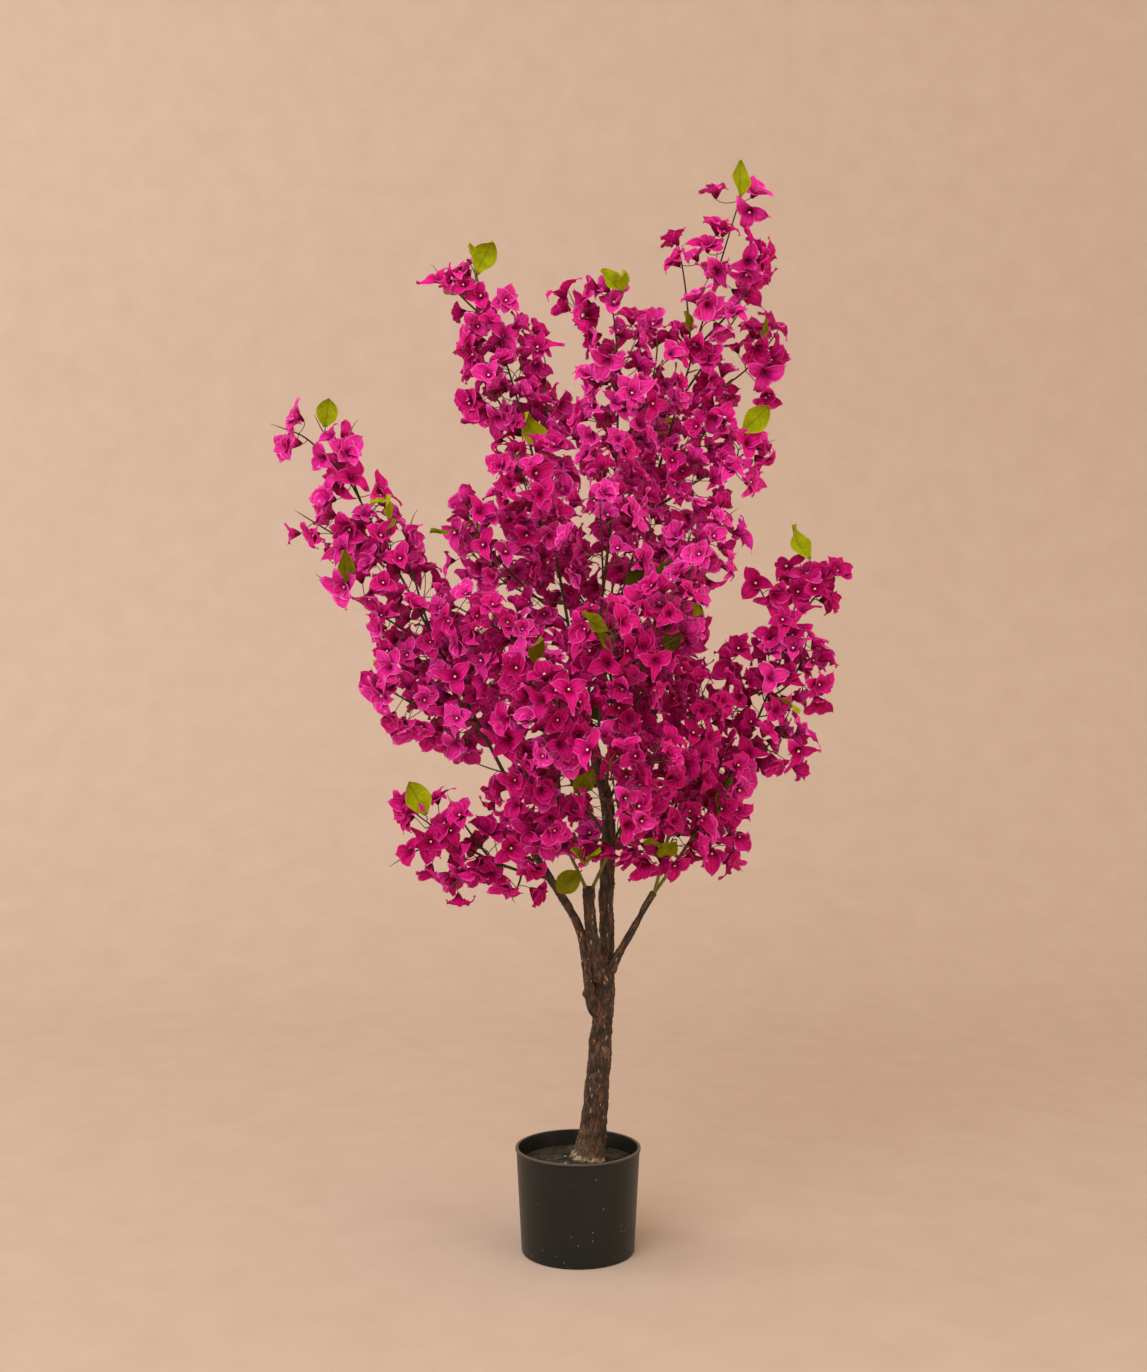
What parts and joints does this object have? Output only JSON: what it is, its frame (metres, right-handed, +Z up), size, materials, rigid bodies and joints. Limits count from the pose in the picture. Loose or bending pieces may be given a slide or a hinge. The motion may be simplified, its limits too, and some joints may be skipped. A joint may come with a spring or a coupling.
{
  "type": "artificial bougainvillea tree in a pot",
  "caption": "Potted artificial bougainvillea tree: a leaning bark-covered trunk with boughs and open sprays of magenta bracts and small green leaves, standing in a plain filled pot.",
  "frame": {"origin": "middle of the pot's flat underside, where the plant stands", "axes": "+Z up along the plant's height, -Y towards the viewer of its front, +X to the viewer's right"},
  "size_m": [0.6369, 0.4757, 1.1925],
  "materials": {
    "pot": "satin",
    "fill": "matte",
    "bark": "matte",
    "bracts": "matte",
    "leaves": "matte",
    "stems": "satin",
    "hearts": "matte"
  },
  "bodies": {
    "root": {"pot": "pot", "fill": "fill", "trunk": "bark", "bough_centre": "bark", "bough_left": "bark", "bough_stub": "bark", "bough_right": "bark", "spray_far_left": "bracts", "spray_low_left": "bracts", "spray_upper_left": "bracts", "spray_top_centre": "bracts", "spray_top_right": "bracts", "spray_right_far": "bracts", "spray_right_inner": "bracts", "spray_front_left": "bracts", "spray_front_right": "bracts", "spray_front_mid": "bracts", "spray_back_left": "bracts", "spray_back_right": "bracts", "spray_back_top": "bracts", "spray_back_low": "bracts"}
  },
  "joints": []
}
